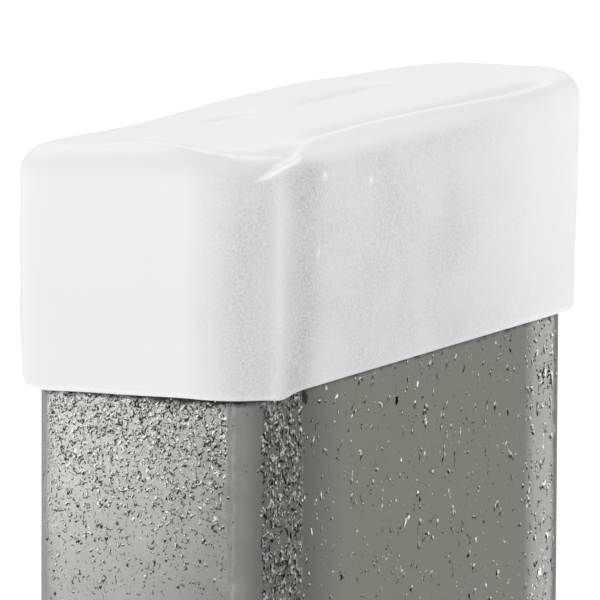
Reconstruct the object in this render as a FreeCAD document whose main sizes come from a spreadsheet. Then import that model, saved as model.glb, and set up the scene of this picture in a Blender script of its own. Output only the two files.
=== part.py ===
"""The capped end of a rectangular steel tube: a soft vinyl cap pushed over the cut end of a length of tube.

The row frame has +Z up along the tube, X across the wide faces and Y across the narrow ones.
The origin is the centre of the tube's lower cut end, which the piece stands on. Units are millimetres.
"""

import FreeCAD, Part
import math
import os

import Sketcher

Vector = FreeCAD.Vector

# Driving dimensions. Every size that can be set by itself has one cell in the sheet.
SIZES = {
    "tube_long": 76.2,       # outside width of the wide faces
    "tube_short": 25.4,      # outside width of the narrow faces
    "tube_wall": 2.5,        # steel thickness
    "tube_corner": 5.0,      # outside radius of the cold-formed corners
    "tube_length": 88.9,     # cut length
    "tube_deburr": 0.3,      # chamfer left on both cut ends by deburring
    "bead_width": 3.2,       # weld flash left inside the tube along its seam
    "bead_height": 0.6,      # how far the flash stands into the tube
    "bead_root": 0.4,        # how far the flash is fused into the wall
    "cap_wall": 1.6,         # vinyl thickness
    "cap_grip": 22.5,        # length of tube that the cap covers
    "cap_crown": 1.5,        # inside radius between the cap's side walls and its closed end
    "cap_lip": 0.7,          # rounding of the open rim, inside and out
    "fit_gap": 0.05,         # clearance between steel and vinyl, on each side
}

PARTS_FOLDER = "parts"
LARGEST_LIP = 0.45           # the rim's rounding is at most this share of the vinyl's thickness
ONE_HEIGHT = 1e-6            # heights closer than this are the same height
START, END, CENTRE = 1, 2, 3  # the points of a sketch element
ORIGIN = -1                  # the sketch's own origin, whose START is the point itself
UPRIGHT_AXIS = -2            # the sketch's own vertical axis


def make_sheet(doc):
    """The spreadsheet that every feature takes its sizes from."""
    sheet = doc.addObject("Spreadsheet::Sheet", "sizes")
    for row, (alias, value) in enumerate(SIZES.items(), start=1):
        sheet.set(f"A{row}", alias)
        sheet.set(f"B{row}", str(value))
        sheet.setAlias(f"B{row}", alias)
    doc.recompute()


def new_body(doc, name):
    body = doc.addObject("PartDesign::Body", name)
    body.Label = name
    return body


def ground_sketch(body, name):
    """An empty sketch on the body's own XY plane."""
    plane = next(f for f in body.Origin.OriginFeatures if f.Role == "XY_Plane")
    sketch = body.newObject("Sketcher::SketchObject", name)
    sketch.AttachmentSupport = [(plane, "")]
    sketch.MapMode = "FlatFace"
    return sketch


def dimension(sketch, name, formula, constraint):
    """Adds a driving dimension to a sketch and binds it to the sheet."""
    index = sketch.addConstraint(constraint)
    sketch.renameConstraint(index, name)
    sketch.setExpression(f"Constraints.{name}", formula)


def rounded_rectangle(sketch, long_side, short_side, radius):
    """A rectangle centred on the origin with equal round corners, held by three driving dimensions."""
    half_x = sketch.evalExpression(long_side) / 2
    half_y = sketch.evalExpression(short_side) / 2
    r = sketch.evalExpression(radius)
    straight_x = half_x - r
    straight_y = half_y - r

    # Anticlockwise: lower side, right side, upper side, left side, each followed by its corner.
    ends = [
        (Vector(-straight_x, -half_y, 0), Vector(straight_x, -half_y, 0)),
        (Vector(half_x, -straight_y, 0), Vector(half_x, straight_y, 0)),
        (Vector(straight_x, half_y, 0), Vector(-straight_x, half_y, 0)),
        (Vector(-half_x, straight_y, 0), Vector(-half_x, -straight_y, 0)),
    ]
    centres = [
        Vector(straight_x, -straight_y, 0),
        Vector(straight_x, straight_y, 0),
        Vector(-straight_x, straight_y, 0),
        Vector(-straight_x, -straight_y, 0),
    ]
    quarter = math.pi / 2
    sides = []
    arcs = []
    for k, (a, b) in enumerate(ends):
        circle = Part.Circle(centres[k], Vector(0, 0, 1), r)
        first = (k - 1) * quarter
        sides.append(sketch.addGeometry(Part.LineSegment(a, b)))
        arcs.append(sketch.addGeometry(Part.ArcOfCircle(circle, first, first + quarter)))

    for k, (side, arc) in enumerate(zip(sides, arcs)):
        direction = "Vertical" if k % 2 else "Horizontal"
        after = sides[(k + 1) % len(sides)]
        sketch.addConstraint(Sketcher.Constraint(direction, side))
        sketch.addConstraint(Sketcher.Constraint("Tangent", side, END, arc, START))
        sketch.addConstraint(Sketcher.Constraint("Tangent", arc, END, after, START))
    for arc in arcs[1:]:
        sketch.addConstraint(Sketcher.Constraint("Equal", arcs[0], arc))
    opposite = (arcs[0], CENTRE, arcs[2], CENTRE)
    sketch.addConstraint(Sketcher.Constraint("Symmetric", *opposite, ORIGIN, START))

    lower, right, upper, left = sides
    dimension(sketch, "corner", radius, Sketcher.Constraint("Radius", arcs[0], r))
    width = Sketcher.Constraint("DistanceX", left, START, right, START, 2 * half_x)
    dimension(sketch, "long_side", long_side, width)
    depth = Sketcher.Constraint("DistanceY", lower, START, upper, START, 2 * half_y)
    dimension(sketch, "short_side", short_side, depth)


def pad(body, sketch, name, length):
    feature = body.newObject("PartDesign::Pad", name)
    feature.Profile = sketch
    feature.setExpression("Length", length)
    sketch.Document.recompute()
    return feature


def pocket_up(body, sketch, name, length):
    """A pocket that cuts upwards from the sketch."""
    feature = body.newObject("PartDesign::Pocket", name)
    feature.Profile = sketch
    feature.Reversed = True
    feature.setExpression("Length", length)
    sketch.Document.recompute()
    return feature


def loop_edges(shape, height, outer):
    """Names of the edges round the flat face at one height: its outer loop, or the loops inside it."""
    level = []
    for face in shape.Faces:
        box = face.BoundBox
        if abs(box.ZMin - height) < ONE_HEIGHT and abs(box.ZMax - height) < ONE_HEIGHT:
            level.append(face)
    face = max(level, key=lambda f: f.Area)
    rim = face.OuterWire.Edges
    wanted = rim if outer else [e for e in face.Edges if not any(e.isSame(r) for r in rim)]
    return [f"Edge{n}" for n, e in enumerate(shape.Edges, start=1) if any(e.isSame(w) for w in wanted)]


def dress(body, kind, name, base, edges, size, formula):
    """A fillet or a chamfer on named edges of the body's last feature."""
    feature = body.newObject(f"PartDesign::{kind}", name)
    feature.Base = (base, edges)
    feature.setExpression(size, formula)
    base.Document.recompute()
    return feature


def make_tube(doc):
    """Welded rectangular tube with cold-formed corners, deburred ends and the weld flash left inside."""
    body = new_body(doc, "tube")

    outside = ground_sketch(body, "tube_outside")
    rounded_rectangle(outside, "sizes.tube_long", "sizes.tube_short", "sizes.tube_corner")
    bar = pad(body, outside, "tube_bar", "sizes.tube_length")

    inside = ground_sketch(body, "tube_inside")
    rounded_rectangle(
        inside,
        "sizes.tube_long - 2 * sizes.tube_wall",
        "sizes.tube_short - 2 * sizes.tube_wall",
        "sizes.tube_corner - sizes.tube_wall",
    )
    wall = pocket_up(body, inside, "tube_bore", "sizes.tube_length")

    length = body.evalExpression("sizes.tube_length")
    ends = []
    for height in (0, length):
        for outer in (True, False):
            ends += loop_edges(wall.Shape, height, outer)
    dress(body, "Chamfer", "tube_deburr", wall, ends, "Size", "sizes.tube_deburr")

    seam = ground_sketch(body, "bead_profile")
    weld_bead(seam)
    pad(body, seam, "tube_bead", "sizes.tube_length")
    return body


def weld_bead(sketch):
    """The flash's section: an arch that stands into the bore, on a root fused into the wide wall at +Y."""
    face = sketch.evalExpression("sizes.tube_short / 2 - sizes.tube_wall")
    half = sketch.evalExpression("sizes.bead_width / 2")
    rise = sketch.evalExpression("sizes.bead_height")
    root = sketch.evalExpression("sizes.bead_root")
    left = Vector(-half, face, 0)
    right = Vector(half, face, 0)
    crest = Vector(0, face - rise, 0)
    deep_left = Vector(-half, face + root, 0)
    deep_right = Vector(half, face + root, 0)

    arch = sketch.addGeometry(Part.Arc(left, crest, right))
    side_right = sketch.addGeometry(Part.LineSegment(right, deep_right))
    back = sketch.addGeometry(Part.LineSegment(deep_right, deep_left))
    side_left = sketch.addGeometry(Part.LineSegment(deep_left, left))

    arch_ends = {sketch.getPoint(arch, point).x > 0: point for point in (START, END)}
    join = [
        ("Coincident", arch, arch_ends[True], side_right, START),
        ("Coincident", side_right, END, back, START),
        ("Coincident", back, END, side_left, START),
        ("Coincident", side_left, END, arch, arch_ends[False]),
        ("Vertical", side_right),
        ("Vertical", side_left),
        ("Horizontal", side_left, END, side_right, START),
        ("Symmetric", side_left, START, side_right, END, UPRIGHT_AXIS),
    ]
    for rule in join:
        sketch.addConstraint(Sketcher.Constraint(*rule))

    width = Sketcher.Constraint("DistanceX", back, END, back, START, 2 * half)
    dimension(sketch, "width", "sizes.bead_width", width)
    depth = Sketcher.Constraint("DistanceY", side_right, START, side_right, END, root)
    dimension(sketch, "root", "sizes.bead_root", depth)
    place = Sketcher.Constraint("DistanceY", ORIGIN, START, side_right, START, face)
    dimension(sketch, "face", "sizes.tube_short / 2 - sizes.tube_wall", place)
    curve = "(sizes.bead_width ^ 2 / 4 + sizes.bead_height ^ 2) / (2 * sizes.bead_height)"
    radius = sketch.evalExpression(curve)
    dimension(sketch, "arch", curve, Sketcher.Constraint("Radius", arch, radius))


def make_cap(doc):
    """Dip-moulded cap: one open end, round edges, a rounded rim, and a cavity the size of the tube."""
    body = new_body(doc, "cap")
    hole_long = "sizes.tube_long + 2 * sizes.fit_gap"
    hole_short = "sizes.tube_short + 2 * sizes.fit_gap"
    hole_depth = "sizes.cap_grip + sizes.cap_crown"

    outside = ground_sketch(body, "cap_outside")
    rounded_rectangle(
        outside,
        f"{hole_long} + 2 * sizes.cap_wall",
        f"{hole_short} + 2 * sizes.cap_wall",
        "sizes.tube_corner + sizes.fit_gap + sizes.cap_wall",
    )
    block = pad(body, outside, "cap_block", f"{hole_depth} + sizes.cap_wall")
    top = loop_edges(block.Shape, block.Length.Value, outer=True)
    crown = dress(body, "Fillet", "cap_crown_outside", block, top, "Radius", "sizes.cap_crown + sizes.cap_wall")

    inside = ground_sketch(body, "cap_inside")
    rounded_rectangle(inside, hole_long, hole_short, "sizes.tube_corner + sizes.fit_gap")
    cavity = pocket_up(body, inside, "cap_cavity", hole_depth)
    if cavity.Shape.Volume >= crown.Shape.Volume:
        raise ValueError("the cap's cavity cut nothing")

    ceiling = loop_edges(cavity.Shape, cavity.Length.Value, outer=True)
    seat = dress(body, "Fillet", "cap_crown_inside", cavity, ceiling, "Radius", "sizes.cap_crown")

    rim = loop_edges(seat.Shape, 0, outer=True) + loop_edges(seat.Shape, 0, outer=False)
    lip = f"min(sizes.cap_lip; {LARGEST_LIP} * sizes.cap_wall)"
    dress(body, "Fillet", "cap_rim", seat, rim, "Radius", lip)

    # The tube's end stops where the cavity's crown radius begins, so the rim lies cap_grip below it.
    body.setExpression("Placement.Base.z", "sizes.tube_length - sizes.cap_grip")
    return body


def check_and_write(doc, bodies):
    """Stops at any failed feature or shape, then writes one STEP file for each sub-part."""
    doc.recompute()
    for item in doc.Objects:
        if "Invalid" in item.State or "Error" in item.State:
            raise ValueError(f"{item.Name} failed: {item.State}")
    os.makedirs(PARTS_FOLDER, exist_ok=True)
    for body in bodies:
        shape = body.Shape
        if shape.isNull() or not shape.isValid() or len(shape.Solids) != 1:
            raise ValueError(f"{body.Label} is not one valid solid")
        shape.exportStep(os.path.join(PARTS_FOLDER, f"{body.Label}.step"))
        box = shape.optimalBoundingBox(False, False)
        low = tuple(round(v, 3) for v in (box.XMin, box.YMin, box.ZMin))
        high = tuple(round(v, 3) for v in (box.XMax, box.YMax, box.ZMax))
        print(f"{body.Label}: {low} to {high}, {shape.Volume:.1f} mm3")


def main():
    doc = FreeCAD.newDocument("capped_tube")
    make_sheet(doc)
    check_and_write(doc, [make_tube(doc), make_cap(doc)])


main()
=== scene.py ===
# %% [markdown]
# # A vinyl cap on the end of a rectangular steel tube
#
# Posts, sign frames and barrier rails are often cut from galvanised rectangular tube. The cut end is
# sharp and lets rain in, so a dip-moulded cap of soft vinyl is pushed over it. The object here is one
# such end: a short length of tube, and the cap that grips it.
#
# The sizes and the places come from the finished CAD model, which is loaded first as a fixed frame.
# Each piece below is then built round that frame, so it needs no fitting. Everything that
# follows works in millimetres and turns to metres in one place, because a maker thinks of a
# 1.6 mm skin and not of 0.0016 m.

# %% Loading the frame
import math

import bpy
import numpy as np
from mathutils import Matrix, Vector, noise


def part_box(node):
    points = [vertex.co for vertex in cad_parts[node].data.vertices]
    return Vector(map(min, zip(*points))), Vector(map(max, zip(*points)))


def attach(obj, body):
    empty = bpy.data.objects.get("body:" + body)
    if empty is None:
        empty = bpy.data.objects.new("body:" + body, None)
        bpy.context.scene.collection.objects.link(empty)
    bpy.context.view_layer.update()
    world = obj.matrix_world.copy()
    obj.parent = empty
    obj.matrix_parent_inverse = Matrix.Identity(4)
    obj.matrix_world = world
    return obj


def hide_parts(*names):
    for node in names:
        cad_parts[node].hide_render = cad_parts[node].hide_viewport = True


MM = 0.001

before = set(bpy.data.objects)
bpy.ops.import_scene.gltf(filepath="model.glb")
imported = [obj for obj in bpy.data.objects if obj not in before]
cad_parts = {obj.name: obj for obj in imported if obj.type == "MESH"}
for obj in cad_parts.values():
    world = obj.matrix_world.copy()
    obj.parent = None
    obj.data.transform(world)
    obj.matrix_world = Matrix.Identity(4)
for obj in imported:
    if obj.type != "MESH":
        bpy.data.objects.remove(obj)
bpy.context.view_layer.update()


def box_in_mm(node):
    """The lowest and the highest corner of a CAD node, in millimetres."""
    low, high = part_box(node)
    return np.array(low) / MM, np.array(high) / MM


tube_low, tube_high = box_in_mm("tube")
cap_low, cap_high = box_in_mm("cap")
RIM = float(cap_low[2])
print("tube", tube_low.round(2), tube_high.round(2), "cap", cap_low.round(2), cap_high.round(2))

# %% [markdown]
# ## Small helpers
#
# A paint colour is easiest to read as the hex value that a colour picker shows, but shaders add up
# light, so they need linear values. One function turns the first into the second.
#
# A node tree is a list of nodes and of the links between them. One helper adds a node, sets its
# settings, and fills its sockets: a number or a colour is typed in, and another node is linked by
# its first output, or by the output that is named. With it a tree reads from top to bottom.


# %% Colours and nodes
def linear(hex_colour):
    """The linear colour of an sRGB hex value such as "#8c8c88"."""
    parts = [int(hex_colour[k:k + 2], 16) / 255 for k in (1, 3, 5)]
    return [p / 12.92 if p <= 0.04045 else ((p + 0.055) / 1.055) ** 2.4 for p in parts] + [1.0]


def add_node(tree, kind, sockets=None, **settings):
    """Adds one node. Each socket, by name or number, gets a value, an output or a node to feed it."""
    made = tree.nodes.new(kind)
    for name, value in settings.items():
        setattr(made, name, value)
    for name, value in (sockets or {}).items():
        if isinstance(value, bpy.types.Node):
            value = value.outputs[0]
        if isinstance(value, bpy.types.NodeSocket):
            tree.links.new(value, made.inputs[name])
        else:
            made.inputs[name].default_value = value
    return made


def new_material(name):
    """An empty node material, and its tree."""
    material = bpy.data.materials.new(name)
    material.use_nodes = True
    material.node_tree.nodes.clear()
    return material, material.node_tree


# %% [markdown]
# ## The camera
#
# The object is seen from a little above one corner, from far off through a long lens, so its
# upright edges stay almost parallel. The camera looks at the cap's rim. Its place is written as a
# bearing, a height angle and a distance, which is how a person would set up a tripod.

# %% Camera
BEARING = math.radians(-62.53)
HEIGHT_ANGLE = math.radians(8.51)
ROLL = math.radians(0.25)
DISTANCE = 1.0028
LENS = 575.5
AIM_UP = 4.58 * MM
AIM_LEFT = 0.69 * MM

back = Vector((
    math.sin(BEARING) * math.cos(HEIGHT_ANGLE),
    -math.cos(BEARING) * math.cos(HEIGHT_ANGLE),
    math.sin(HEIGHT_ANGLE),
))
right = Vector((math.cos(BEARING), math.sin(BEARING), 0))
up = back.cross(right)
aim = Vector((0, 0, RIM * MM)) + up * AIM_UP - right * AIM_LEFT

camera = bpy.data.objects.new("camera", bpy.data.cameras.new("camera"))
camera.data.lens = LENS
camera.data.clip_end = 20
facing = Matrix((right, up, back)).transposed().to_4x4()
camera.matrix_world = Matrix.Translation(aim + back * DISTANCE) @ facing @ Matrix.Rotation(ROLL, 4, "Z")
bpy.context.scene.collection.objects.link(camera)
bpy.context.scene.camera = camera
print("camera at", [round(v, 3) for v in camera.matrix_world.translation], "m")

# %% [markdown]
# ## Floor, room and lights
#
# White plastic and dull zinc both need a bright, even room: the plastic, because its folds only show
# as small steps between light greys, and the zinc, because metal has no look of its own and only
# mirrors what is round it. The floor is a wide sheet of white card, with a faint glow of its own
# that keeps it white close to the object.
#
# The room is a smooth change from bright at one end to dim at the other, which gives each face of
# the object a grey of its own. Three soft boxes then brighten the top, the near end and the long
# side. Each is large for its distance, so no shadow has a hard edge.

# %% Floor
FLOOR_HALF = 12.0
CARD_GLOW = 0.3
card, tree = new_material("white_card_matt")
surface = add_node(tree, "ShaderNodeBsdfPrincipled", {
    "Base Color": linear("#f6f6f6"), "Roughness": 1.0, "Specular IOR Level": 0.0,
    "Emission Color": linear("#ffffff"), "Emission Strength": CARD_GLOW,
})
add_node(tree, "ShaderNodeOutputMaterial", {"Surface": surface.outputs[0]})

sheet = bpy.data.meshes.new("floor")
corners = [(-1, -1), (1, -1), (1, 1), (-1, 1)]
sheet.from_pydata([(x * FLOOR_HALF, y * FLOOR_HALF, 0) for x, y in corners], [], [(0, 1, 2, 3)])
sheet.materials.append(card)
floor = bpy.data.objects.new("floor", sheet)
bpy.context.scene.collection.objects.link(floor)

# %% Room
BRIGHT_WAY = Vector((-0.75, 0.55, 0.35)).normalized()
DIM_END = 0.33
BRIGHT_END = 0.64

room = bpy.data.worlds.new("room")
room.use_nodes = True
bpy.context.scene.world = room
tree = room.node_tree
tree.nodes.clear()
way = add_node(tree, "ShaderNodeTexCoord").outputs["Generated"]
toward = add_node(tree, "ShaderNodeVectorMath", {0: way, 1: BRIGHT_WAY}, operation="DOT_PRODUCT")
ends = {"Value": toward.outputs["Value"], "From Min": -1.0, "To Min": DIM_END, "To Max": BRIGHT_END}
level = add_node(tree, "ShaderNodeMapRange", ends, interpolation_type="SMOOTHSTEP")
glow = add_node(tree, "ShaderNodeBackground", {"Strength": level.outputs[0]})
add_node(tree, "ShaderNodeOutputWorld", {"Surface": glow.outputs[0]})


# %% Lights
def soft_box(name, place, watts, size):
    """A square soft box at a place in metres, turned to the cap."""
    lamp = bpy.data.lights.new(name, "AREA")
    lamp.energy = watts
    lamp.size = size
    holder = bpy.data.objects.new(name, lamp)
    holder.location = place
    holder.rotation_euler = (Vector(place) - aim).to_track_quat("Z", "Y").to_euler()
    bpy.context.scene.collection.objects.link(holder)


soft_box("end_light", (-0.75, 0.40, 0.36), 0.92, 0.4)
soft_box("top_light", (0.55, 0.5, 1.4), 18, 2.0)
soft_box("side_light", (-0.15, -1.3, 0.45), 4.8, 0.9)
bpy.context.scene.view_settings.view_transform = "Standard"

# %% [markdown]
# ## Galvanised steel
#
# The tube is roll-formed from zinc-coated strip. Fresh zinc is bright, but it soon dulls to a mid
# grey, so the metal is grey and fairly rough. Two things make it look like zinc and not like
# paint: faint cloudy patches a few millimetres wide, which are the spangles of the coating, and a
# hard grit of pits and frozen drops up to half a millimetre wide.
#
# The forming rolls press that grit flat on the corners and leave little of it on the wide faces. It
# stays dense on the narrow faces, and in a band where a wide face meets its corner. A colour ramp
# can say that the way a maker would, like a ruler laid across the tube: at so many millimetres from
# the middle there is this much grit, and the zinc is this grey. That grey also holds painted
# reflection and painted shade: the narrow faces lighter, and dark bands beside the corners.
#
# The grit itself is noise that is read twice, a step apart. Where only the first reading is high there
# is a bright drop, and where only the second is high there is a dark pit beside it: real grit, with a
# painted highlight on one side and painted shade on the other, as a raised grain lit from one side
# looks. That gives small hooked pairs of light and dark, as a crinkled coating has, and not round dots.
# Last comes painted shadow, in a thin line where the cap's lip rests.

# %% A ruler across the tube
TUBE_CORNER = 5.0
# How wide the band of grit is on a wide face, beside the one corner and beside the other.
NEAR_BAND = 7.9
FAR_BAND = 6.0
half_long, half_short = float(tube_high[0]), float(tube_high[1])
FLAT_END = half_long - TUBE_CORNER


def lay_ruler(tree, value, half, marks):
    """A colour ramp from -half to half, with a colour or a grey level at each mark in millimetres."""
    share = add_node(tree, "ShaderNodeMapRange", {
        "Value": value, "From Min": -half * MM, "From Max": half * MM})
    ruler = add_node(tree, "ShaderNodeValToRGB", {0: share})
    stops = ruler.color_ramp.elements
    while len(stops) < len(marks):
        stops.new(1.0)
    for stop, (place, shade) in zip(stops, sorted(marks.items())):
        stop.position = (place / half + 1) / 2
        stop.color = linear(shade) if isinstance(shade, str) else (shade, shade, shade, 1.0)
    return ruler.outputs[0]


# How much grit there is, from one narrow face to the other.
GRIT_MARKS = {
    0.5 - half_long: 1.0, 1.4 - half_long: 0.0, -FLAT_END - 1.0: 0.0, -FLAT_END - 0.5: 1.0,
    NEAR_BAND - FLAT_END - 0.3: 1.0, NEAR_BAND - FLAT_END + 0.3: 0.26,
    FLAT_END - FAR_BAND - 0.8: 0.28, FLAT_END - FAR_BAND + 0.8: 0.5, FLAT_END: 0.6,
    FLAT_END + 0.8: 0.3, half_long - 1.4: 0.1, half_long - 0.5: 1.0}

# The zinc's grey on the same ruler, with painted reflection and painted shade in it: the narrow faces
# lighter, and dark bands beside the near corner and at the far corner.
ZINC_GREY_AND_PAINTED_SHADE_MARKS = {
    -half_long: "#989897", 0.8 - half_long: "#8e8e8d", -FLAT_END - 2.6: "#747473",
    -FLAT_END - 0.9: "#6a6a69", -FLAT_END - 0.6: "#525251", NEAR_BAND - FLAT_END: "#50504e",
    NEAR_BAND - FLAT_END + 0.5: "#50504d", NEAR_BAND - FLAT_END + 9: "#6c6c67",
    FLAT_END - FAR_BAND - 1: "#6c6c67", FLAT_END - FAR_BAND + 1.4: "#8b8b89",
    FLAT_END - 2.1: "#929290", FLAT_END - 0.5: "#929290", FLAT_END + 0.7: "#4c4c4b",
    FLAT_END + 1.9: "#4c4c4b", FLAT_END + 3.4: "#8e8e8d"}

# How bright the drops' painted highlights are. They are dimmer in the near band, which is painted dark.
DROP_HIGHLIGHT_MARKS = {
    -FLAT_END - 1.2: 1.0, -FLAT_END - 0.8: 0.4,
    NEAR_BAND - FLAT_END - 0.3: 0.4, NEAR_BAND - FLAT_END + 0.1: 1.0}

# Which part is a narrow face, and painted shade and light across it: darker at both edges and lightest near
# one.
NARROW_MARKS = {
    0.2 - half_long: 1.0, 1.1 - half_long: 0.0, half_long - 1.1: 0.0, half_long - 0.2: 1.0}
PAINTED_SHADE_ACROSS_NARROW_MARKS = {-half_short: 0.52, 10.4: 0.95, 11.4: 0.8, half_short: 0.45}
print("rulers from", -half_long, "to", half_long, "mm")


# %% Grit
# How wide the grains of grit are in millimetres: fine on the narrow faces, coarse in the middle.
GRIT_WIDTHS = {
    1.0 - half_long: 0.42, 1.05 - half_long: 0.80, NEAR_BAND - FLAT_END: 0.80,
    NEAR_BAND - FLAT_END + 0.05: 0.98, FLAT_END: 0.98, half_long - 1.05: 0.66, half_long - 1.0: 0.42}

# Noise above this level is grit, where there is least of it and where there is most.
LEVEL_AT_LEAST, LEVEL_AT_MOST = 0.71, 0.49
GRIT_EDGE = 0.07
PIT_MARGIN = 0.02
GRIT_STEP = 0.2


def grit_painted_emboss(tree, place, density):
    """Bright drops and dark pits side by side, as painted highlight and painted shade: one noise that is read
    twice, a step apart.
    """
    across = add_node(tree, "ShaderNodeSeparateXYZ", {0: place}).outputs["X"]
    width = lay_ruler(tree, across, half_long, GRIT_WIDTHS)
    scale = add_node(tree, "ShaderNodeMath", {0: 1 / MM, 1: width}, operation="DIVIDE")
    scaled = add_node(tree, "ShaderNodeVectorMath", {0: place, "Scale": scale}, operation="SCALE")

    limit = add_node(tree, "ShaderNodeMapRange", {
        "Value": density, "To Min": LEVEL_AT_LEAST, "To Max": LEVEL_AT_MOST})
    full = add_node(tree, "ShaderNodeMath", {0: limit, 1: GRIT_EDGE}, operation="ADD")
    lower = add_node(tree, "ShaderNodeMath", {0: limit, 1: PIT_MARGIN}, operation="SUBTRACT")
    readings = []
    for step, start in ((0.0, limit), (GRIT_STEP, lower)):
        moved = add_node(tree, "ShaderNodeVectorMath", {0: scaled, 1: (step, step, step)}, operation="ADD")
        level = add_node(tree, "ShaderNodeTexNoise", {
            "Vector": moved, "Scale": 1.0, "Detail": 2.0, "Roughness": 0.6, "Distortion": 0.7})
        readings.append(add_node(tree, "ShaderNodeMapRange", {
            "Value": level, "From Min": start, "From Max": full}, interpolation_type="SMOOTHSTEP"))
    here, beside = readings
    drop = add_node(tree, "ShaderNodeMath", {0: here, 1: beside}, operation="SUBTRACT", use_clamp=True)
    pit = add_node(tree, "ShaderNodeMath", {0: beside, 1: here}, operation="SUBTRACT", use_clamp=True)
    return drop, pit


# %% Painted shadow where the cap's lip rests
# The lip's painted shadow: its darkest share, its hairline, and a blot where the lip lifts, in millimetres.
DARKEST = 0.10
LINE_HALF = (0.25, 0.85)
SHADOW_BLOT = (-24.9, 0.1 - half_short, RIM - 1.2)
SHADOW_BLOT_EDGE = (0.65, 0.85)


def lip_painted_shadow(tree, place, drift):
    """1 on lit zinc. It falls as painted shadow along a ragged hairline under the lip, and in a blot where
    the lip lifts.
    """
    height = add_node(tree, "ShaderNodeSeparateXYZ", {0: place}).outputs["Z"]
    height = add_node(tree, "ShaderNodeMath", {0: drift, 1: 1.0 * MM, 2: height}, operation="MULTIPLY_ADD")
    from_lip = add_node(tree, "ShaderNodeMath", {0: height, 1: RIM * MM}, operation="SUBTRACT")
    from_lip = add_node(tree, "ShaderNodeMath", {0: from_lip}, operation="ABSOLUTE")
    middle = [c * MM for c in SHADOW_BLOT]
    from_shadow_blot = add_node(tree, "ShaderNodeVectorMath", {0: place, 1: middle}, operation="DISTANCE")
    from_shadow_blot = add_node(tree, "ShaderNodeMath", {
        0: drift, 1: 1.5 * MM, 2: from_shadow_blot.outputs["Value"]}, operation="MULTIPLY_ADD")
    line, shadow_blot = [
        add_node(tree, "ShaderNodeMapRange", {
            "Value": away, "From Min": dark * MM, "From Max": clean * MM,
            "To Min": DARKEST, "To Max": 1.0})
        for away, (dark, clean) in ((from_lip, LINE_HALF), (from_shadow_blot, SHADOW_BLOT_EDGE))]
    return add_node(tree, "ShaderNodeMath", {0: line, 1: shadow_blot}, operation="MULTIPLY")


# %% Sawn ends
def sawn_steel(tree, place):
    """Bright bare steel, with a line for each tooth of the saw."""
    teeth = add_node(tree, "ShaderNodeTexWave", {
        "Vector": place, "Scale": 1 / (5 * MM), "Distortion": 1.5, "Detail": 2.0},
        bands_direction="DIAGONAL")
    shades = {0: teeth.outputs["Fac"], 6: linear("#a5a4a2"), 7: linear("#c9c8c6")}
    colour = add_node(tree, "ShaderNodeMix", shades, data_type="RGBA").outputs[2]
    marks = add_node(tree, "ShaderNodeBump", {"Height": teeth, "Strength": 0.5, "Distance": 0.05 * MM})
    return add_node(tree, "ShaderNodeBsdfPrincipled", {
        "Base Color": colour, "Metallic": 1.0, "Roughness": 0.32, "Normal": marks})


# %% How light or dark the zinc is
CLOUD_TONES = (0.88, 1.08)
WHITER_WITH_GRIT = 0.85
PAINTED_EDGE_SHADE_STRENGTH = 1.3


def zinc_tone(tree, clouds, gritty, narrow, across_narrow, lip_shadow):
    """What the zinc's grey is multiplied by: clouds, white grit, painted shade and light across each narrow
    face, and the painted shadow under the lip.
    """
    low, high = CLOUD_TONES
    cloudy = add_node(tree, "ShaderNodeMapRange", {
        "Value": clouds, "From Min": 0.3, "From Max": 0.7, "To Min": low, "To Max": high})
    tone = add_node(tree, "ShaderNodeMath", {
        0: gritty, 1: WHITER_WITH_GRIT, 2: cloudy}, operation="MULTIPLY_ADD")
    # Painted shade and light across each narrow face.
    edge = lay_ruler(tree, across_narrow, half_short, PAINTED_SHADE_ACROSS_NARROW_MARKS)
    edge = add_node(tree, "ShaderNodeMath", {0: edge, 1: PAINTED_EDGE_SHADE_STRENGTH, 2: -1.0}, operation="MULTIPLY_ADD")
    edge = add_node(tree, "ShaderNodeMath", {0: edge, 1: narrow, 2: 1.0}, operation="MULTIPLY_ADD")
    tone = add_node(tree, "ShaderNodeMath", {0: tone, 1: edge}, operation="MULTIPLY")
    return add_node(tree, "ShaderNodeMath", {0: tone, 1: lip_shadow}, operation="MULTIPLY")


# %% How dense the grit is
LEFT_ON_WIDE = 0.9
LEFT_ON_NARROW = 0.26
THINS_OUT = (RIM - 21, RIM - 2)


def grit_density(tree, across, height, is_narrow):
    """The ruler's grit, which is densest just below the cap and gets sparse further down."""
    grit = lay_ruler(tree, across, half_long, GRIT_MARKS)
    low, high = THINS_OUT
    left = add_node(tree, "ShaderNodeMapRange", {
        "Value": is_narrow, "To Min": LEFT_ON_WIDE, "To Max": LEFT_ON_NARROW})
    near_cap = add_node(tree, "ShaderNodeMapRange", {
        "Value": height, "From Min": low * MM, "From Max": high * MM, "To Min": left})
    return add_node(tree, "ShaderNodeMath", {0: grit, 1: near_cap}, operation="MULTIPLY")


# %% Zinc material
SPANGLE = 6.0
WANDER = 1.2
WANDER_WIDTH = 1.6
PIT_ON_NARROW = 0.95
GRIT_RELIEF = 0.12
SMOOTHEST, ROUGHEST = 0.34, 0.5


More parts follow.
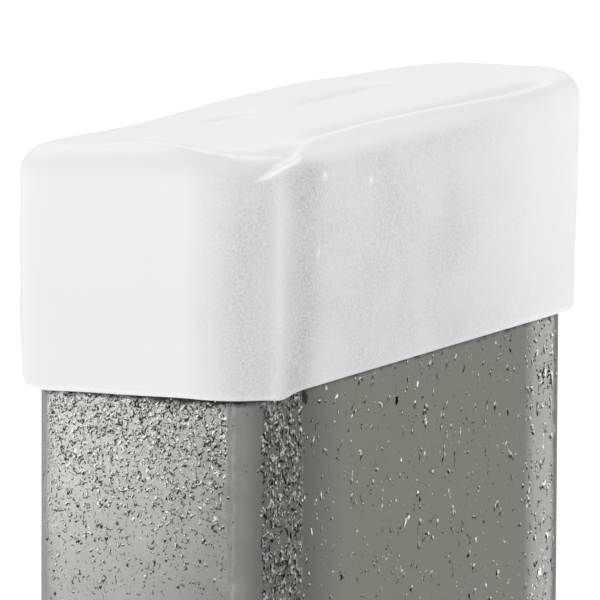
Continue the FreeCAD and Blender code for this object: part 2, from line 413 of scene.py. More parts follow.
def galvanised_steel():
    """Dull zinc on cold-rolled steel: a grey rough metal with clouds, dark pits and bright drops, and painted
    reflection, shade and highlights in its colour.
    """
    material, tree = new_material("galvanised_steel_roll_formed")
    source = add_node(tree, "ShaderNodeTexCoord").outputs
    place = source["Object"]
    apart = add_node(tree, "ShaderNodeSeparateXYZ", {0: place}).outputs

    # No band ends in a straight line, so the rulers are read at a place that wanders a little.
    drift = add_node(tree, "ShaderNodeTexNoise", {
        "Vector": place, "Scale": 1 / (WANDER_WIDTH * MM), "Detail": 2.0})
    drift = add_node(tree, "ShaderNodeMath", {0: drift, 1: 0.5}, operation="SUBTRACT")
    across = add_node(tree, "ShaderNodeMath", {
        0: drift, 1: WANDER * MM, 2: apart["X"]}, operation="MULTIPLY_ADD")
    narrow = lay_ruler(tree, apart["X"], half_long, NARROW_MARKS)
    is_narrow = add_node(tree, "ShaderNodeMath", {0: narrow, 1: 0.1}, operation="GREATER_THAN")

    # Zinc with its painted reflection and shade, then its bright drops, then its dark pits.
    density = grit_density(tree, across, apart["Z"], is_narrow)
    drop, pit = grit_painted_emboss(tree, place, density)
    zinc = lay_ruler(tree, across, half_long, ZINC_GREY_AND_PAINTED_SHADE_MARKS)
    drop_highlight = lay_ruler(tree, across, half_long, DROP_HIGHLIGHT_MARKS)
    depth = add_node(tree, "ShaderNodeMapRange", {
        "Value": is_narrow, "To Min": 1.0, "To Max": PIT_ON_NARROW})
    # A painted highlight on each drop, and painted shade on the pit beside it.
    drop_and_painted_highlight = add_node(tree, "ShaderNodeMath", {0: drop, 1: drop_highlight}, operation="MULTIPLY")
    pit_and_painted_shade = add_node(tree, "ShaderNodeMath", {0: pit, 1: depth}, operation="MULTIPLY")
    colour = zinc
    for share, grey in ((drop_and_painted_highlight, "#e0e0de"), (pit_and_painted_shade, "#161615")):
        shades = {0: share, 6: colour, 7: linear(grey)}
        colour = add_node(tree, "ShaderNodeMix", shades, data_type="RGBA").outputs[2]

    # The tone goes over all three.
    clouds = add_node(tree, "ShaderNodeTexNoise", {
        "Vector": place, "Scale": 1 / (SPANGLE * MM), "Detail": 3.0})
    gritty = add_node(tree, "ShaderNodeMath", {0: density, 1: drop_highlight}, operation="MULTIPLY")
    lip_shadow = lip_painted_shadow(tree, place, drift)
    tone = zinc_tone(tree, clouds, gritty, narrow, apart["Y"], lip_shadow)
    colour = add_node(tree, "ShaderNodeVectorMath", {0: colour, "Scale": tone}, operation="SCALE")

    # Oxide in the pits and the painted shadow at the lip have no metal's mirror, so they can be really dark.
    clean = add_node(tree, "ShaderNodeMath", {0: 1.0, 1: pit_and_painted_shade}, operation="SUBTRACT")
    clean = add_node(tree, "ShaderNodeMath", {0: clean, 1: lip_shadow}, operation="MULTIPLY")
    metal = add_node(tree, "ShaderNodeMath", {0: clean, 1: 0.9}, operation="MULTIPLY")
    gloss = add_node(tree, "ShaderNodeMath", {0: clean, 1: 0.5}, operation="MULTIPLY")
    rough = add_node(tree, "ShaderNodeMapRange", {"Value": clouds, "To Min": SMOOTHEST, "To Max": ROUGHEST})
    relief = add_node(tree, "ShaderNodeMath", {0: drop, 1: pit}, operation="SUBTRACT")
    bump = add_node(tree, "ShaderNodeBump", {
        "Height": relief, "Strength": 0.8, "Distance": GRIT_RELIEF * MM})
    coated = add_node(tree, "ShaderNodeBsdfPrincipled", {
        "Base Color": colour, "Metallic": metal, "Roughness": rough, "Specular IOR Level": gloss,
        "Normal": bump})

    # Faces that look along the tube are its cut ends.
    endways = add_node(tree, "ShaderNodeSeparateXYZ", {0: source["Normal"]}).outputs["Z"]
    endways = add_node(tree, "ShaderNodeMath", {0: endways}, operation="ABSOLUTE")
    is_cut = add_node(tree, "ShaderNodeMath", {0: endways, 1: 0.5}, operation="GREATER_THAN")
    either = add_node(tree, "ShaderNodeMixShader", {0: is_cut, 1: coated, 2: sawn_steel(tree, place)})
    add_node(tree, "ShaderNodeOutputMaterial", {"Surface": either})
    return material


zinc_finish = galvanised_steel()
print("finish:", zinc_finish.name)

# %% [markdown]
# ## The steel tube
#
# The tube is the piece whose shape follows a rule: one small outline, its wall cut lengthways, is
# carried once round a rounded rectangle. That is what the Curve to Mesh node does, so the tube is a
# Geometry Nodes tree with its sizes as named inputs.
#
# The wall's outline is drawn as eight straight lines, so that the two long ones can be cut into many
# short steps and the deburred corners into none. Each line is swept into a strip, and
# merging the strips by distance closes them into one skin. The tree then bends the
# wide faces back towards their corners by a fraction of a millimetre, as roll forming leaves them.

# %% Tools for Geometry Nodes
def new_geometry_tree(name, inputs):
    """An empty tree with named inputs, and the outputs of the node that hands those out."""
    tree = bpy.data.node_groups.new(name, "GeometryNodeTree")
    for label, kind in inputs.items():
        tree.interface.new_socket(label, in_out="INPUT", socket_type="NodeSocket" + kind)
    tree.interface.new_socket("Geometry", in_out="OUTPUT", socket_type="NodeSocketGeometry")
    return tree, add_node(tree, "NodeGroupInput").outputs


def finish_tree(tree, geometry, material):
    """Real geometry in one material is what leaves the tree."""
    real = add_node(tree, "GeometryNodeRealizeInstances", {"Geometry": geometry})
    painted = add_node(tree, "GeometryNodeSetMaterial", {"Geometry": real, "Material": material})
    add_node(tree, "NodeGroupOutput", {0: painted})


def run_tree(name, tree, values, on=None):
    """Runs a tree on a mesh, or on nothing. The result is a plain mesh that rides on the tube."""
    carrier = bpy.data.objects.new(name + "_tree", on or bpy.data.meshes.new(name + "_tree"))
    bpy.context.scene.collection.objects.link(carrier)
    modifier = carrier.modifiers.new("tree", "NODES")
    modifier.node_group = tree
    for item in tree.interface.items_tree:
        if item.item_type == "SOCKET" and item.in_out == "INPUT" and item.name in values:
            modifier[item.identifier] = values[item.name]
    evaluated = carrier.evaluated_get(bpy.context.evaluated_depsgraph_get())
    mesh = bpy.data.meshes.new_from_object(evaluated)
    bpy.data.objects.remove(carrier)
    piece = bpy.data.objects.new(name, mesh)
    mesh.name = name
    mesh.shade_smooth()
    bpy.context.scene.collection.objects.link(piece)
    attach(piece, "tube")
    print(f"{name}: {len(mesh.vertices)} points, {len(mesh.polygons)} faces")
    return piece


# %% The tube's tree: its sizes
tree, size = new_geometry_tree("roll_formed_tube", {
    "Long Side": "Float", "Short Side": "Float", "Length": "Float", "Wall": "Float", "Corner": "Float",
    "Deburr": "Float", "Step": "Float", "Crown": "Float", "Waviness": "Float", "Material": "Material"})

mid_long = add_node(tree, "ShaderNodeMath", {0: size["Long Side"], 1: size["Wall"]}, operation="SUBTRACT")
mid_short = add_node(tree, "ShaderNodeMath", {0: size["Short Side"], 1: size["Wall"]}, operation="SUBTRACT")
half_wall = add_node(tree, "ShaderNodeMath", {0: size["Wall"], 1: 0.5}, operation="MULTIPLY")
mid_corner = add_node(tree, "ShaderNodeMath", {0: size["Corner"], 1: half_wall}, operation="SUBTRACT")
tip = add_node(tree, "ShaderNodeMath", {0: size["Length"], 1: 0.5}, operation="MULTIPLY")
shoulder = add_node(tree, "ShaderNodeMath", {0: tip, 1: size["Deburr"]}, operation="SUBTRACT")
cheek = add_node(tree, "ShaderNodeMath", {0: half_wall, 1: size["Deburr"]}, operation="SUBTRACT")

# %% The tube's tree: once round the middle of the wall
frame_line = add_node(tree, "GeometryNodeCurvePrimitiveQuadrilateral", {
    "Width": mid_long, "Height": mid_short})
rounded = add_node(tree, "GeometryNodeFilletCurve", {
    "Curve": frame_line, "Count": 12, "Radius": mid_corner}, mode="POLY")
around = add_node(tree, "GeometryNodeResampleCurve", {
    "Curve": rounded, "Length": size["Step"]}, mode="LENGTH")
level = add_node(tree, "GeometryNodeSetCurveNormal", {"Curve": around}, mode="Z_UP")

# %% The tube's tree: the wall cut lengthways
# One corner of the outline, mirrored into all four. X points out of the tube and Y down it.
quarter = {"shoulder": (half_wall, shoulder), "tip": (cheek, tip)}
walk = [("shoulder", 1, 1), ("tip", 1, 1), ("tip", -1, 1), ("shoulder", -1, 1),
        ("shoulder", -1, -1), ("tip", -1, -1), ("tip", 1, -1), ("shoulder", 1, -1)]
LONG_LINES = (3, 7)
turns = []
for corner, x_sign, y_sign in walk:
    x, y = quarter[corner]
    drawn = add_node(tree, "ShaderNodeCombineXYZ", {"X": x, "Y": y})
    turns.append(add_node(tree, "ShaderNodeVectorMath", {
        0: drawn, 1: (x_sign, y_sign, 0)}, operation="MULTIPLY"))
outline = add_node(tree, "GeometryNodeJoinGeometry")
for k, turn in enumerate(turns):
    following = turns[(k + 1) % len(turns)]
    line = add_node(tree, "GeometryNodeCurvePrimitiveLine", {"Start": turn, "End": following})
    if k in LONG_LINES:
        line = add_node(tree, "GeometryNodeResampleCurve", {
            "Curve": line, "Length": size["Step"]}, mode="LENGTH")
    tree.links.new(line.outputs[0], outline.inputs[0])
strips = add_node(tree, "GeometryNodeCurveToMesh", {"Curve": level, "Profile Curve": outline})
skin = add_node(tree, "GeometryNodeMergeByDistance", {"Geometry": strips, "Distance": 0.01 * MM})

# %% The tube's tree: roll forming leaves nothing quite flat
apart = add_node(tree, "ShaderNodeSeparateXYZ", {0: add_node(tree, "GeometryNodeInputPosition")}).outputs
half_side = add_node(tree, "ShaderNodeMath", {0: size["Long Side"], 1: 0.5}, operation="MULTIPLY")
flat_half = add_node(tree, "ShaderNodeMath", {0: half_side, 1: size["Corner"]}, operation="SUBTRACT")
fall = add_node(tree, "ShaderNodeMath", {0: apart["X"]}, operation="ABSOLUTE")
for step, other in (("DIVIDE", flat_half), ("MINIMUM", 1.0), ("POWER", 7.0), ("MULTIPLY", size["Crown"])):
    fall = add_node(tree, "ShaderNodeMath", {0: fall, 1: other}, operation=step)
waves = add_node(tree, "ShaderNodeTexNoise", {"Scale": 1 / (14 * MM), "Detail": 1.0})
depth = add_node(tree, "ShaderNodeMath", {0: waves, 1: size["Waviness"], 2: fall}, operation="MULTIPLY_ADD")
inward = add_node(tree, "ShaderNodeMath", {0: apart["Y"]}, operation="SIGN")
for factor in (-1.0, depth):
    inward = add_node(tree, "ShaderNodeMath", {0: inward, 1: factor}, operation="MULTIPLY")
offset = add_node(tree, "ShaderNodeCombineXYZ", {"Y": inward, "Z": tip})
shaped = add_node(tree, "GeometryNodeSetPosition", {"Geometry": skin, "Offset": offset})
finish_tree(tree, shaped, size["Material"])

# %% The tube
TUBE_WALL = 2.5
TUBE_DEBURR = 0.3
TUBE_LENGTH = float(tube_high[2] - tube_low[2])
SHARP_FROM = math.radians(32)
steel_tube = run_tree("steel_tube", tree, {
    "Long Side": 2 * half_long * MM, "Short Side": 2 * half_short * MM, "Length": TUBE_LENGTH * MM,
    "Wall": TUBE_WALL * MM, "Corner": TUBE_CORNER * MM, "Deburr": TUBE_DEBURR * MM,
    "Step": 0.9 * MM, "Crown": 0.06 * MM, "Waviness": 0.04 * MM, "Material": zinc_finish,
})
steel_tube.data.set_sharp_from_angle(angle=SHARP_FROM)
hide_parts("tube")

# %% [markdown]
# ## The weld inside
#
# The strip is closed into a tube by a long weld. Outside, a blade shaves it flush while it is still
# hot. Inside it is only trimmed, so a low rounded rib runs down the middle of one wide wall. The
# weld is struck many times a second, which leaves small ripples. It is swept along
# a line again, and its radius changes with a wave.

# %% The weld's tree
# Its radius is a share of full size: a smallest share, a slow swell on top, and quick ripples.
SMALLEST, SWELL, RIPPLES = 0.85, 0.3, 0.06

tree, size = new_geometry_tree("weld_flash", {
    "Start": "Vector", "End": "Vector", "Width": "Float", "Height": "Float", "Ripple": "Float",
    "Material": "Material"})
line = add_node(tree, "GeometryNodeCurvePrimitiveLine", {"Start": size["Start"], "End": size["End"]})
steps = add_node(tree, "GeometryNodeResampleCurve", {"Curve": line, "Length": 0.35 * MM}, mode="LENGTH")
place = add_node(tree, "GeometryNodeInputPosition")
height = add_node(tree, "ShaderNodeSeparateXYZ", {0: place}).outputs["Z"]
turn = add_node(tree, "ShaderNodeMath", {0: height, 1: size["Ripple"]}, operation="DIVIDE")
turn = add_node(tree, "ShaderNodeMath", {0: turn, 1: 2 * math.pi}, operation="MULTIPLY")
wave = add_node(tree, "ShaderNodeMath", {0: turn}, operation="SINE")
drift = add_node(tree, "ShaderNodeTexNoise", {"Scale": 1 / (9 * MM)})
swell = add_node(tree, "ShaderNodeMath", {0: drift, 1: SWELL, 2: SMALLEST}, operation="MULTIPLY_ADD")
swell = add_node(tree, "ShaderNodeMath", {0: wave, 1: RIPPLES, 2: swell}, operation="MULTIPLY_ADD")
bead = add_node(tree, "GeometryNodeSetCurveRadius", {"Curve": steps, "Radius": swell})
bead = add_node(tree, "GeometryNodeSetCurveNormal", {"Curve": bead}, mode="MINIMUM_TWIST")
circle = add_node(tree, "GeometryNodeCurvePrimitiveCircle", {"Resolution": 20, "Radius": 0.5}, mode="RADIUS")
flat = add_node(tree, "ShaderNodeCombineXYZ", {"X": size["Height"], "Y": size["Width"], "Z": 1.0})
flat = add_node(tree, "GeometryNodeTransform", {"Geometry": circle, "Scale": flat})
swept = add_node(tree, "GeometryNodeCurveToMesh", {
    "Curve": bead, "Profile Curve": flat, "Scale": swell, "Fill Caps": True})
finish_tree(tree, swept, size["Material"])

# %% The weld
WELD_WIDTH = 3.2
WELD_HEIGHT = 0.6
inner_wall = half_short - TUBE_WALL
run_tree("weld_flash", tree, {
    "Start": (0, inner_wall * MM, 0.2 * MM), "End": (0, inner_wall * MM, (TUBE_LENGTH - 0.2) * MM),
    "Width": WELD_WIDTH * MM, "Height": 2 * WELD_HEIGHT * MM, "Ripple": 1.4 * MM, "Material": zinc_finish,
})

# %% [markdown]
# ## Drops on the zinc, and their painted shadows
#
# Hot zinc splashes and freezes as it drains, so the coating carries small hard drops. Below each drop
# sits a flat dark speck on the same points: a painted shadow. The drops are real bumps that catch the
# light, so they are modelled and not painted. Points are strewn on the tube's own outer faces, many where
# the grit is dense and few elsewhere, and a tiny squashed ball is set on each. A ball with twenty faces is
# enough, because most are less than half a millimetre long. None is placed under the cap, because
# pushing it on rubs them away, and none on the last two millimetres, where the saw was.

# %% Their materials
def speck_finish(name, first, second, roughness, metallic):
    """A small body of zinc, or the painted shadow set below one. It varies a little from one to the next."""
    material, tree = new_material(name)
    place = add_node(tree, "ShaderNodeTexCoord").outputs["Object"]
    change = add_node(tree, "ShaderNodeTexNoise", {"Vector": place, "Scale": 1 / (1.5 * MM)})
    shades = {0: change, 6: linear(first), 7: linear(second)}
    colour = add_node(tree, "ShaderNodeMix", shades, data_type="RGBA").outputs[2]
    shader = add_node(tree, "ShaderNodeBsdfPrincipled", {
        "Base Color": colour, "Metallic": metallic, "Roughness": roughness})
    add_node(tree, "ShaderNodeOutputMaterial", {"Surface": shader})
    return material


# Zinc that froze as a drop is smoother and brighter than the dull coating round it.
drop_finish = speck_finish("zinc_drop_as_frozen", "#8f8f8d", "#f0f0ee", 0.28, 1.0)
# The painted shadow set below each drop: nearly black, and matt.
drop_shadow_finish = speck_finish("painted_drop_shadow_matt", "#191918", "#3a3a38", 0.6, 0.2)

# %% Their tree
MOST_TILT = 0.3
NARROW_FROM = 3.9
THINS_OVER = 18.0
LEFT_BELOW = 0.4

tree, size = new_geometry_tree("zinc_drops_and_painted_shadows", {
    "Tube": "Geometry", "Flat Half": "Float", "Band": "Float", "Bare Below": "Float",
    "Bare Above": "Float", "Few": "Float", "Many": "Float", "Width": "Float", "Flatness": "Float",
    "Lower": "Float", "Seed": "Int", "Size Seed": "Int", "Material": "Material"})
place = add_node(tree, "GeometryNodeInputPosition")
apart = add_node(tree, "ShaderNodeSeparateXYZ", {0: place}).outputs
normal = add_node(tree, "GeometryNodeInputNormal")
facing = add_node(tree, "ShaderNodeSeparateXYZ", {0: normal}).outputs

# An outer face looks away from the tube's axis and is upright. Both its ends stay bare.
from_axis = add_node(tree, "ShaderNodeCombineXYZ", {"X": apart["X"], "Y": apart["Y"]})
away = add_node(tree, "ShaderNodeVectorMath", {0: normal, 1: from_axis}, operation="DOT_PRODUCT")
tilt = add_node(tree, "ShaderNodeMath", {0: facing["Z"]}, operation="ABSOLUTE")
wanted = 1.0
for value, test, limit in (
        (away.outputs["Value"], "GREATER_THAN", 0.0), (tilt, "LESS_THAN", MOST_TILT),
        (apart["Z"], "LESS_THAN", size["Bare Above"]), (apart["Z"], "GREATER_THAN", size["Bare Below"])):
    passed = add_node(tree, "ShaderNodeMath", {0: value, 1: limit}, operation=test)
    wanted = add_node(tree, "ShaderNodeMath", {0: wanted, 1: passed}, operation="MULTIPLY")

# Grit stays on the narrow faces and in the bands beside the corners.
along = add_node(tree, "ShaderNodeMath", {0: apart["X"]}, operation="ABSOLUTE")
past_flat = add_node(tree, "ShaderNodeMath", {0: along, 1: size["Flat Half"]}, operation="SUBTRACT")
narrow = add_node(tree, "ShaderNodeMath", {0: past_flat, 1: NARROW_FROM * MM}, operation="GREATER_THAN")
on_flat = add_node(tree, "ShaderNodeMath", {0: past_flat, 1: 0.0}, operation="LESS_THAN")
band_in = add_node(tree, "ShaderNodeMath", {0: past_flat, 1: size["Band"]}, operation="ADD")
band_in = add_node(tree, "ShaderNodeMath", {0: band_in, 1: 0.0}, operation="GREATER_THAN")
band = add_node(tree, "ShaderNodeMath", {0: on_flat, 1: band_in}, operation="MULTIPLY")
gritty = add_node(tree, "ShaderNodeMath", {0: narrow, 1: band}, operation="MAXIMUM")
density = add_node(tree, "ShaderNodeMapRange", {
    "Value": gritty, "To Min": size["Few"], "To Max": size["Many"]})
density = add_node(tree, "ShaderNodeMath", {0: density, 1: wanted}, operation="MULTIPLY")
from_cap = add_node(tree, "ShaderNodeMath", {0: size["Bare Above"], 1: apart["Z"]}, operation="SUBTRACT")
near_cap = add_node(tree, "ShaderNodeMapRange", {
    "Value": from_cap, "From Max": THINS_OVER * MM, "To Min": 1.0, "To Max": LEFT_BELOW})
density = add_node(tree, "ShaderNodeMath", {0: density, 1: near_cap}, operation="MULTIPLY")

strewn = add_node(tree, "GeometryNodeDistributePointsOnFaces", {
    "Mesh": size["Tube"], "Density": density, "Seed": size["Seed"]}).outputs
lower = add_node(tree, "ShaderNodeMath", {0: size["Lower"], 1: -1.0}, operation="MULTIPLY")
lower = add_node(tree, "ShaderNodeCombineXYZ", {"Z": lower})
set_down = add_node(tree, "GeometryNodeSetPosition", {"Geometry": strewn["Points"], "Offset": lower})
ball = add_node(tree, "GeometryNodeMeshIcoSphere", {"Radius": 0.5, "Subdivisions": 1})
spread = add_node(tree, "FunctionNodeRandomValue", {
    0: (0.4, 0.7, 0.6), 1: (1.4, 2.0, 1.0), "Seed": size["Size Seed"]}, data_type="FLOAT_VECTOR")
thick = add_node(tree, "ShaderNodeMath", {0: size["Width"], 1: size["Flatness"]}, operation="MULTIPLY")
full = add_node(tree, "ShaderNodeCombineXYZ", {"X": size["Width"], "Y": size["Width"], "Z": thick})
spread = add_node(tree, "ShaderNodeVectorMath", {0: spread, 1: full}, operation="MULTIPLY")
grains = add_node(tree, "GeometryNodeInstanceOnPoints", {
    "Points": set_down, "Instance": ball, "Rotation": strewn["Rotation"], "Scale": spread})
finish_tree(tree, grains, size["Material"])

# %% The drops and their painted shadows
where = {
    "Flat Half": FLAT_END * MM, "Band": NEAR_BAND * MM, "Bare Below": 2.0 * MM,
    "Bare Above": (RIM - 0.3) * MM, "Few": 0.05 / MM ** 2, "Many": 0.32 / MM ** 2, "Seed": 7}
run_tree("zinc_drops", tree, {
    **where, "Width": 0.32 * MM, "Flatness": 0.7, "Size Seed": 3,
    "Material": drop_finish}, on=steel_tube.data)
# A painted shadow sits on each drop's point, a little lower: the same seed and density.
run_tree("painted_drop_shadows", tree, {
    **where, "Width": 0.36 * MM, "Flatness": 0.3, "Lower": 0.17 * MM, "Size Seed": 5,
    "Material": drop_shadow_finish}, on=steel_tube.data)

# %% [markdown]
# ## Soft white vinyl
#
# The cap is made by dipping a hot steel form in liquid PVC and stripping off the skin when it has
# set. Such vinyl is satin, a little see-through, and very slightly cloudy, so light goes a
# millimetre or so into it before it comes out: that is subsurface scattering. It keeps
# the shadows soft and the edges light.
#
# The long walls are pressed tight on rough steel. There the grey of the zinc shows through, and its
# grit prints through as a fine grain, while the short walls and one end stay smooth and milky. That
# grey also holds painted shade and light: a dark band beside the near corner, lighter toward the far
# end, and greyer toward the mouth. Sharp folds and small bubbles are whiter, as stress whitening and a
# painted highlight, and the skin beside the creases and dents is greyer, as painted shade. The cap's
# mesh says where, in two attributes: one for the whitening and one for the painted shade.

# %% Where the steel shows through
GRAIN_WIDTH = 0.24
PATCH_WIDTH = 8.0
cap_half = np.array([cap_high[0], cap_high[1]])
TOP = float(cap_high[2])
# How strongly the steel shows through, by millimetres from the middle of the cap: along it and
# across it. It also holds painted shade and light: greyest in a band beside the near corner, and lighter
# toward the far end.
PRESSED_AND_SHADE_ALONG = {
    -38: 0.85, -36: 0.85, -34.5: 0.6, -31: 1.0, -27.5: 1.0, -24: 0.74, 6: 0.70, 24: 0.24, 36: 0.04}
PRESSED_AND_SHADE_ACROSS = {-14: 1.0, -12.4: 0.9, -10: 0.42, -7: 0.0, 12.6: 0.0, 14: 0.8}
# The crown stands clear of the steel from here upwards. Lower down the walls are greyer toward the mouth:
# painted shade.
CLEAR_ABOVE = (TOP - 0.9, TOP - 3.5)
LOW_PAINTED_SHADE = 0.09
# A skin pressed on the steel shows this much of it, and its grain adds up to so much more.
SHOWS, GRAIN_ADDS = 0.42, 0.7
# Skin beside the creases and dents is this much greyer: painted shade.
CREASE_SHADE_SHARE = 0.22


def pressed_and_painted_shade(tree, apart):
    """How hard the skin is pressed on the steel, with painted shade and light in it, read from the two rulers
    and the height.
    """
    along = lay_ruler(tree, apart["X"], float(cap_half[0]), PRESSED_AND_SHADE_ALONG)
    across = lay_ruler(tree, apart["Y"], float(cap_half[1]), PRESSED_AND_SHADE_ACROSS)
    pressed_and_shade = add_node(tree, "ShaderNodeMath", {0: across, 1: along}, operation="MULTIPLY")
    clear, held = CLEAR_ABOVE
    below_top = add_node(tree, "ShaderNodeMapRange", {
        "Value": apart["Z"], "From Min": clear * MM, "From Max": held * MM},
        interpolation_type="SMOOTHSTEP")
    return add_node(tree, "ShaderNodeMath", {0: pressed_and_shade, 1: below_top}, operation="MULTIPLY")


def steel_seen_and_painted_shade(tree, place, height, pressed_and_shade, fine):
    """How much of the colour is grey: the steel showing through, grainy where pressed, with painted shade in
    it, and painted shade by the creases.
    """
    patches = add_node(tree, "ShaderNodeTexNoise", {
        "Vector": place, "Scale": 1 / (PATCH_WIDTH * MM), "Detail": 1.0})
    grain = add_node(tree, "ShaderNodeMapRange", {"Value": fine, "From Min": 0.35, "From Max": 0.65})
    patchy = add_node(tree, "ShaderNodeMath", {0: grain, 1: patches}, operation="MULTIPLY")
    through = add_node(tree, "ShaderNodeMath", {0: patchy, 1: GRAIN_ADDS, 2: SHOWS}, operation="MULTIPLY_ADD")
    # Painted shade: the walls are greyer toward the mouth.
    low_shade = add_node(tree, "ShaderNodeMapRange", {
        "Value": height, "From Min": RIM * MM, "From Max": (TOP - 6) * MM, "To Min": LOW_PAINTED_SHADE, "To Max": 0.0})
    grey = add_node(tree, "ShaderNodeMath", {0: pressed_and_shade, 1: through, 2: low_shade}, operation="MULTIPLY_ADD")
    # Painted shade beside the creases and dents.
    crease_shade = add_node(tree, "ShaderNodeAttribute", attribute_name="crease_shade").outputs["Fac"]
    return add_node(tree, "ShaderNodeMath", {0: crease_shade, 1: CREASE_SHADE_SHARE, 2: grey}, operation="MULTIPLY_ADD")


# %% Vinyl material
MILK_DEPTH = 1.3
PRINT_RELIEF = 0.03


def white_vinyl():
    """Dip-moulded soft PVC: satin and milky, with grey steel and its grit showing through the walls, and
    painted shade and highlights in its colour.
    """
    material, tree = new_material("white_vinyl_dip_moulded")
    place = add_node(tree, "ShaderNodeTexCoord").outputs["Object"]
    apart = add_node(tree, "ShaderNodeSeparateXYZ", {0: place}).outputs
    fine = add_node(tree, "ShaderNodeTexNoise", {
        "Vector": place, "Scale": 1 / (GRAIN_WIDTH * MM), "Detail": 3.0, "Roughness": 0.65})
    pressed_and_shade = pressed_and_painted_shade(tree, apart)
    grey = steel_seen_and_painted_shade(tree, place, apart["Z"], pressed_and_shade, fine)
    # Whiter along sharp folds and on the bubbles: stress whitening and a painted highlight.
    fold_whitening_and_highlight = add_node(tree, "ShaderNodeAttribute", attribute_name="fold_whitening_and_highlight").outputs["Fac"]
    colour = linear("#f6f7f6")
    for share, shade in ((grey, "#a9aaa9"), (fold_whitening_and_highlight, "#ffffff")):
        shades = {0: share, 6: colour, 7: linear(shade)}
        colour = add_node(tree, "ShaderNodeMix", shades, data_type="RGBA").outputs[2]

    tight = add_node(tree, "ShaderNodeMath", {0: pressed_and_shade, 1: 0.2}, operation="ADD")
    relief = add_node(tree, "ShaderNodeMath", {0: fine, 1: tight}, operation="MULTIPLY")
    bump = add_node(tree, "ShaderNodeBump", {
        "Height": relief, "Strength": 0.5, "Distance": PRINT_RELIEF * MM})
    shader = add_node(tree, "ShaderNodeBsdfPrincipled", {
        "Base Color": colour, "Roughness": 0.5, "IOR": 1.53, "Specular IOR Level": 0.3, "Normal": bump,
        "Subsurface Weight": 0.35, "Subsurface Scale": MILK_DEPTH * MM,
        "Subsurface Radius": (1.0, 0.97, 0.94),
    })
    add_node(tree, "ShaderNodeOutputMaterial", {"Surface": shader})
    return material


vinyl_finish = white_vinyl()
print("finish:", vinyl_finish.name)

# %% [markdown]
# ## The vinyl cap: a grid of points
#
# A soft skin has no two edges alike, so this piece is drawn point by point with a formula, not swept
# or bevelled. The cap is one closed skin: it starts at the ceiling inside, comes down the inner
# wall, turns round the lip, climbs the outer wall, and closes over the crown.
#
# Every level of it is the same rounded rectangle, only more or less inset. So each column of points is
# a foot on the rectangle of corner centres and a direction outwards, each row is an inset and
# a height, and a point is their sum. The flat middles, inside and out, are filled with a grid that
# blends its four edges, called a Coons patch. The steps are short near one end and one corner,
# where the folds are.

# %% Columns round the cap
CAP_WALL = 1.6
CAP_CROWN = 3.1
CAP_CORNER = 6.65
CAP_LIP = 0.7
LONG_STEPS, SHORT_STEPS = 158, 100
FINE_SHARE = 0.4


def graded(count, share):
    """Fractions from 0 to 1 whose first steps are only this share of an even step."""
    even = np.linspace(0, 1, count + 1)
    return share * even + (1 - share) * even ** 2


def one_side(start, turn, straight, fractions):
    """Feet and directions along one side, from the middle of one corner to the middle of the next."""
    quarter = CAP_CORNER * math.pi / 4
    way = fractions * (2 * quarter + straight)
    run = np.clip(way - quarter, 0, straight)
    angle = turn - math.pi / 4 + np.minimum(way, quarter) / CAP_CORNER
    angle += np.maximum(way - quarter - straight, 0) / CAP_CORNER
    along = np.array([-math.sin(turn), math.cos(turn)])
    feet = start + run[:, None] * along
    return feet, np.stack([np.cos(angle), np.sin(angle)], axis=1)


inner_half = cap_half - CAP_CORNER
fine_first = graded(LONG_STEPS, FINE_SHARE)
fine_short = graded(SHORT_STEPS, FINE_SHARE)
long_run, short_run = 2 * inner_half
sides = [
    one_side(inner_half * (-1, -1), -math.pi / 2, long_run, fine_first),
    one_side(inner_half * (1, -1), 0, short_run, fine_short),
    one_side(inner_half * (1, 1), math.pi / 2, long_run, 1 - fine_first[::-1]),
    one_side(inner_half * (-1, 1), math.pi, short_run, 1 - fine_short[::-1]),
]
feet = np.concatenate([f[:-1] for f, _ in sides])
outward = np.concatenate([d[:-1] for _, d in sides])
COLUMNS = len(feet)
print("columns round the cap:", COLUMNS)


# %% Rows from the inner ceiling to the outer crown
def arc(centre_inset, centre_height, radius, first, last, count):
    """Rows of (inset, height, rise) on an arc. The rise is how far outwards turns to upwards."""
    rows = []
    for angle in np.radians(np.linspace(first, last, count)):
        inset = centre_inset - radius * math.cos(angle)
        rows.append((inset, centre_height + radius * math.sin(angle), max(angle, 0.0)))
    return rows


def wall_rows(inset, start, end, count, share):
    """Rows up or down a straight wall. The last steps are only a share of an even one."""
    heights = start + (end - start) * (1 - graded(count, share)[::-1])
    return [(inset, z, 0.0) for z in heights[1:-1]]


inner_crown = CAP_CROWN - CAP_WALL
inside = arc(CAP_CROWN, TOP - CAP_CROWN, inner_crown, 90, 0, 7)
inside += wall_rows(CAP_WALL, TOP - CAP_CROWN, RIM + CAP_LIP, 14, 1.0)
inside += [(CAP_WALL - CAP_LIP * (1 - math.cos(a)), RIM + CAP_LIP * (1 - math.sin(a)), 0.0)
           for a in np.radians(np.linspace(0, 90, 6))]
outside = [(i, z, 0.0) for i, z, _ in arc(CAP_LIP, RIM + CAP_LIP, CAP_LIP, -90, 0, 8)]
outside += wall_rows(0.0, RIM + CAP_LIP, TOP - CAP_CROWN, 42, 0.4)
outside += arc(CAP_CROWN, TOP - CAP_CROWN, CAP_CROWN, 0, 90, 28)
rows = inside + outside
print("rows:", len(inside), "inside and", len(outside), "outside")


# %% Points, and the way outwards at each
def ring(inset, height, rise):
    """The points of one row, and the way outwards at each."""
    flat = feet + (CAP_CORNER - inset) * outward
    points = np.column_stack([flat, np.full(COLUMNS, height)])
    ways = np.column_stack([outward * math.cos(rise), np.full(COLUMNS, math.sin(rise))])
    return points, ways


